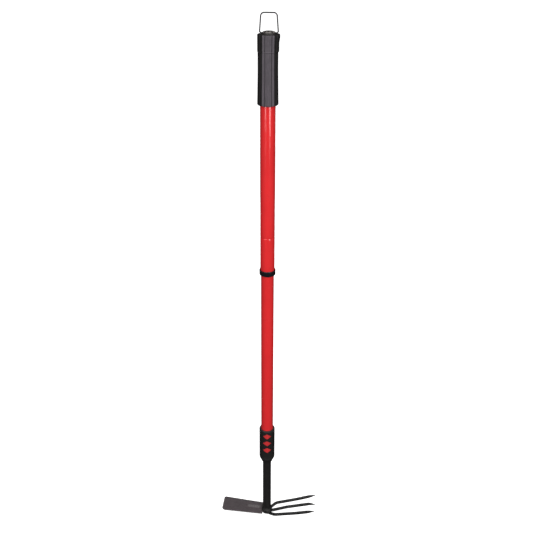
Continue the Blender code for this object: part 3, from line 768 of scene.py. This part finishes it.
def make_shank(looks):
    radius, foot, top = turned_size("shank")
    edge_round = 0.9 * MM
    corners = [(0, foot, 0), (radius, foot, edge_round), (radius, top, edge_round), (0, top, 0)]
    shank = as_object("shank_rod", skin(solid_rings(corners, 8 * MM)))
    drill_pin_hole(shank)
    edge = worn_rims((foot, 1.5 * MM))
    finish_piece(shank, "tool", [looks["black_steel"]], ["shank"], edge)


# ---------------------------------------------------------------- head

class BladeShape:
    """The hoe blade as CAD has it: a plate that rises outwards, with a pressed rib."""

    THICK, EDGE_THICK = 2.4 * MM, 0.7 * MM
    GRIND = 6 * MM                  # how far the ground edge reaches in
    ROUNDING = 0.35 * MM            # of the ground edge itself
    TILT = radians(4.1)
    EDGE_CORNER, ROOT_CORNER = 5 * MM, 2 * MM
    RIB_HALF_LONG, RIB_HALF_WIDE, RIB_RISE = 15 * MM, 5 * MM, 1.9 * MM

    def __init__(self):
        low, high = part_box("hoe_blade")
        self.edge_x = low.x
        self.root_x = high.x + 1.6 * MM         # its root runs in to the weld
        self.edge_half = high.y
        self.root_half = high.y - 3 * MM
        self.axis_height = low.z + self.THICK / 2 + high.x * tan(self.TILT)
        self.rib_x = high.x - 16.6 * MM

    def half_width(self, x):
        along = (x - self.root_x) / (self.edge_x - self.root_x)
        half = self.root_half + (self.edge_half - self.root_half) * along
        for end, corner in ((self.edge_x, self.EDGE_CORNER), (self.root_x, self.ROOT_CORNER)):
            short = corner - abs(x - end)
            if short > 0:
                half -= corner - sqrt(max(0.0, corner ** 2 - short ** 2))
        return half

    def thickness(self, x):
        from_edge = x - self.edge_x
        thick = self.EDGE_THICK + (self.THICK - self.EDGE_THICK) * min(1.0, from_edge / self.GRIND)
        if from_edge < self.ROUNDING:
            thick *= 0.45 + 0.55 * from_edge / self.ROUNDING
        return thick

    def rib(self, x, y):
        spine = self.RIB_HALF_LONG - self.RIB_HALF_WIDE
        past_spine = max(0.0, abs(x - self.rib_x) - spine)
        distance = hypot(past_spine, y) / self.RIB_HALF_WIDE
        return self.RIB_RISE * (1 + cos(pi * distance)) / 2 if distance < 1 else 0.0

    def section(self, x):
        """Closed outline of the plate at x: flat top, round side edges, underside."""
        thick = self.thickness(x)
        top = self.axis_height - x * tan(self.TILT) + self.THICK / 2
        flat = self.half_width(x) - thick / 2
        ys = [flat * t for t in evenly(-1, 1, 44)]
        turns = evenly(0, pi, 6)[1:-1]
        points = [Vector((x, y, top + self.rib(x, y))) for y in ys]
        for turn in turns:
            points.append(Vector((x, flat + thick / 2 * sin(turn), top - thick / 2 * (1 - cos(turn)))))
        points += [Vector((x, y, top - thick + self.rib(x, y))) for y in reversed(ys)]
        for turn in turns:
            points.append(Vector((x, -flat - thick / 2 * sin(turn), top - thick / 2 * (1 + cos(turn)))))
        return points


def make_hoe_blade(looks):
    shape = BladeShape()
    xs = [shape.edge_x + shape.EDGE_CORNER * (1 - cos(turn)) for turn in quarter_turn(12)]
    xs += evenly(xs[-1], shape.root_x - shape.ROOT_CORNER, 44)[1:]
    xs += [shape.root_x - shape.ROOT_CORNER * (1 - sin(turn)) for turn in quarter_turn(6)[1:]]
    blade = as_object("hoe_blade_plate", skin([shape.section(x) for x in xs]))

    def edge(co):
        side = near(abs(co.y), shape.half_width(co.x), 1 * MM) * 0.5
        # painted highlight: the rib's crest is painted paler, as bare metal
        crest = 0.8 * shape.rib(co.x, co.y) / shape.RIB_RISE
        return max(side, crest, near(co.x, shape.edge_x, 2.5 * MM))

    finish_piece(blade, "tool", [looks["blade_steel"]], ["hoe_blade"], edge, 50)


def make_tines(looks):
    """Three tines, drawn out to points; their roots run in to the weld at the shank."""
    # x, y, z and bend radius in mm
    middle = ((9.5, 0, 3.4, 0), (40, 0, 15, 120), (84, 0, 27.2, 14), (96, 0, 26.6, 0))
    outer = ((6.0, 7.9, 3.4, 0), (17, 16.4, 8.3, 12), (60, 19.7, 19.4, 180), (95.2, 22.4, 30.4, 0))
    rod_radius, tip_radius, point = 2.85 * MM, 0.55 * MM, 18 * MM
    root_run = 2.5 * MM
    last_steps = (0.6, 0.42, 0.28, 0.17, 0.09, 0.03, 0)     # in mm, rings that round the tip

    def radius_at(left):
        radius = tip_radius + (rod_radius - tip_radius) * sin(pi / 2 * min(1.0, left / point))
        ahead = max(0.0, 1 - (left + 0.01 * MM) / tip_radius)
        return radius * sqrt(1 - ahead ** 2)

    tines = (("tine_middle", middle, 1), ("tine_left", outer, 1), ("tine_right", outer, -1))
    for node, corners, side in tines:
        bends = [(Vector((x, side * y, z)) * MM, bend * MM) for x, y, z, bend in corners]
        root = bends[0][0]
        inward = Vector((root.x, root.y, 0)).normalized() * root_run
        path = [root - inward] + stepped(bent_path(bends), False, 1.5 * MM)
        tip = path.pop()
        back = (path[-1] - tip).normalized()
        path = [p for p in path if (p - tip).length > 0.8 * MM]
        path += [tip + back * step * MM for step in last_steps]

        def edge(co, tip=tip):
            return near((co - tip).length, 0, 9 * MM)

        tine = as_object(node + "_rod", swept(path, radius_at, Vector((0, 1, 0)), sides=28))
        finish_piece(tine, "tool", [looks["tine_steel_shaded"]], [node], edge, 60)


def melt(obj, voxel):
    """Fuse overlapping closed shapes in to one smooth skin."""
    remesh = obj.modifiers.new("melt", "REMESH")
    remesh.mode = "VOXEL"
    remesh.voxel_size = voxel
    relax = obj.modifiers.new("relax", "SMOOTH")
    relax.factor = 0.5
    relax.iterations = 9
    freeze(obj)


def level_arc(radius, height, start, end, count):
    """Points along a level arc about the shank's axis, between two angles in degrees."""
    angles = [radians(degrees) for degrees in evenly(start, end, count)]
    return [Vector((radius * cos(a), radius * sin(a), height)) for a in angles]


def make_welds(looks):
    """The fillet around the shank above the blade and tines, and the one under the blade."""
    shank = turned_size("shank")[0]
    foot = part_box("head_weld")[0].z
    behind_blade = [Vector((-shank - 1.2 * MM, y * MM, 8.5 * MM)) for y in range(-8, 9)]
    # each bead is a path and the radius of its blobs
    build_beads("root_weld", [
        (level_arc(shank + 0.3 * MM, foot + 1.2 * MM, 0, 350, 30), 1.9 * MM),
        (level_arc(shank - 0.2 * MM, foot + 3.6 * MM, 5, 355, 26), 1.45 * MM),
        (level_arc(shank - 0.4 * MM, foot + 5.4 * MM, 0, 350, 21), 1.0 * MM),
        (level_arc(shank + 0.7 * MM, 5.6 * MM, -80, 80, 15), 1.9 * MM),
        (level_arc(shank + 0.3 * MM, 2.4 * MM, -75, 75, 15), 1.5 * MM),
        (behind_blade, 1.2 * MM),
    ], "head_weld", looks)
    low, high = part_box("blade_weld")
    middle = (low.z + high.z) / 2
    build_beads("under_weld", [
        (level_arc(shank + 0.5 * MM, middle + 0.4 * MM, 105, 255, 18), 1.8 * MM),
        (level_arc(shank + 0.2 * MM, middle - 1.2 * MM, 110, 250, 16), 1.2 * MM),
    ], "blade_weld", looks)


def build_beads(name, beads, node, looks):
    """Run beads of molten blobs together in to one weld that stands for a CAD node."""
    bm = bmesh.new()
    for path, radius in beads:
        for i, point in enumerate(path):
            swell = 1 + 0.35 * noise.noise(point / (3.1 * MM)) + 0.05 * (i % 2)
            place = Matrix.Translation(point) @ Matrix.Scale(radius * swell, 4)
            bmesh.ops.create_icosphere(bm, subdivisions=3, radius=1, matrix=place)
    weld = as_object(name, bm)
    melt(weld, 0.3 * MM)

    def edge(co):
        return 0.3 + 0.5 * noise.noise(co / (1.5 * MM))

    finish_piece(weld, "tool", [looks["weld_steel"]], [node], edge, 180)


def dress_inner_parts(looks):
    """Procedural finishes for the CAD solids inside the tubes, whose shapes stay."""
    slots = {part["node"]: part["material_slot"] for part in frame["record"]["subparts"]}
    inside = ("lock_plug", "lock_screw", "screw_washer", "screw_nut", "expander_sleeve",
              "cone_nut", "shank_bush", "shank_pin")
    for node in inside:
        mesh = frame["nodes"][node].data
        mesh.materials.clear()
        mesh.materials.append(looks[slots[node]])


# ---------------------------------------------------------------- studio

def add_softbox(name, azimuth, distance, low, high, width, radiance, mirrored=True):
    """An upright softbox at an azimuth (0 is in front, towards -Y); it isn't seen itself."""
    data = bpy.data.lights.new(name, "AREA")
    data.shape = "RECTANGLE"
    data.size = width
    data.size_y = high - low
    data.energy = radiance * pi * width * (high - low)
    light = bpy.data.objects.new(name, data)
    angle = radians(azimuth)
    light.location = (distance * sin(angle), -distance * cos(angle), (low + high) / 2)
    light.rotation_euler = (pi / 2, 0, angle)
    light.visible_camera = False
    light.visible_glossy = mirrored
    bpy.context.scene.collection.objects.link(light)


def studio_floor():
    """White paper that glows, so that only a trace of the shadows shows on it."""
    bm = bmesh.new()
    bmesh.ops.create_grid(bm, x_segments=8, y_segments=8, size=60)
    floor = as_object("floor", bm)
    material = bpy.data.materials.new("floor_paper")
    material.use_nodes = True
    tree = material.node_tree
    shader = tree.nodes["Principled BSDF"]
    shader.inputs["Base Color"].default_value = (0.8, 0.8, 0.8, 1)
    shader.inputs["Specular IOR Level"].default_value = 0
    fibre = tree.nodes.new("ShaderNodeTexNoise")
    fibre.inputs["Scale"].default_value = 400
    spread = tree.nodes.new("ShaderNodeMapRange")
    spread.inputs["To Min"].default_value = 0.85
    spread.inputs["To Max"].default_value = 0.95
    tree.links.new(fibre.outputs["Fac"], spread.inputs["Value"])
    tree.links.new(spread.outputs["Result"], shader.inputs["Roughness"])
    shader.inputs["Emission Color"].default_value = (1, 1, 1, 1)
    shader.inputs["Emission Strength"].default_value = 0.86
    floor.data.materials.append(material)
    floor.location.z = -0.5 * MM    # just under the tool's foot
    floor.visible_diffuse = False
    floor.visible_glossy = False


def studio_air():
    """Even soft fill for what is lit, near-black for what is mirrored, white for what is seen."""
    world = bpy.data.worlds.new("studio")
    bpy.context.scene.world = world
    world.use_nodes = True
    tree = world.node_tree
    fill = tree.nodes["Background"]
    fill.inputs["Color"].default_value = (1, 1, 1, 1)
    fill.inputs["Strength"].default_value = 0.14
    mirrored = tree.nodes.new("ShaderNodeBackground")
    mirrored.inputs["Strength"].default_value = 0.04
    white = tree.nodes.new("ShaderNodeBackground")
    white.inputs["Color"].default_value = (1, 1, 1, 1)
    path = tree.nodes.new("ShaderNodeLightPath")
    for ray, shader in (("Is Glossy Ray", mirrored), ("Is Camera Ray", white)):
        mix = tree.nodes.new("ShaderNodeMixShader")
        tree.links.new(path.outputs[ray], mix.inputs[0])
        tree.links.new(fill.outputs[0], mix.inputs[1])
        tree.links.new(shader.outputs[0], mix.inputs[2])
        fill = mix
    tree.links.new(fill.outputs[0], tree.nodes["World Output"].inputs[0])


def make_studio():
    scene = bpy.context.scene
    scene.view_settings.view_transform = "Standard"
    studio_floor()
    studio_air()
    sky_data = bpy.data.lights.new("soft_sky", "SUN")
    sky_data.energy = 1.3
    sky_data.angle = radians(70)
    sky = bpy.data.objects.new("soft_sky", sky_data)
    sky.rotation_euler = (radians(35), 0, CAMERA_AZIMUTH)
    scene.collection.objects.link(sky)
    # azimuth in degrees, distance, lower edge, upper edge, width and radiance
    add_softbox("left_strip", -26.5, 1.7, 0.39, 2.2, 0.60, 4.1)
    add_softbox("right_strip", 37.5, 1.7, 0.345, 2.2, 0.54, 5.9)
    add_softbox("low_back_box", 186, 1.9, 0.2, 0.9, 0.8, 4.0)
    add_softbox("high_back_box", 186, 1.9, 0.9, 2.2, 0.8, 4.0, mirrored=False)


def make_camera():
    """The camera looks down at the tool from the height of its grip, a little turned."""
    pitch, roll = radians(25), radians(0.137)
    distance, height = 1.1339, 1.0682
    data = bpy.data.cameras.new("camera")
    data.sensor_width = 36
    data.lens = 49.98
    data.shift_x = -0.0018          # the tool stands a little right of the middle
    camera = bpy.data.objects.new("camera", data)
    across, ahead = sin(CAMERA_AZIMUTH), cos(CAMERA_AZIMUTH)
    camera.location = (distance * across, -distance * ahead, height)
    forward = Vector((-across * cos(pitch), ahead * cos(pitch), -sin(pitch)))
    upright = forward.to_track_quat("-Z", "Y").to_matrix()
    camera.rotation_euler = (upright @ Matrix.Rotation(roll, 3, "Z")).to_euler()
    bpy.context.scene.collection.objects.link(camera)
    bpy.context.scene.camera = camera


def main():
    looks = make_surfaces()
    make_outer_tube(looks)
    make_inner_tube(looks)
    make_collar(looks)
    make_grip(looks)
    make_end_plug(looks)
    make_hang_loop(looks)
    make_neck_sleeve(looks)
    make_shank(looks)
    make_hoe_blade(looks)
    make_tines(looks)
    make_welds(looks)
    dress_inner_parts(looks)
    make_studio()
    make_camera()


main()
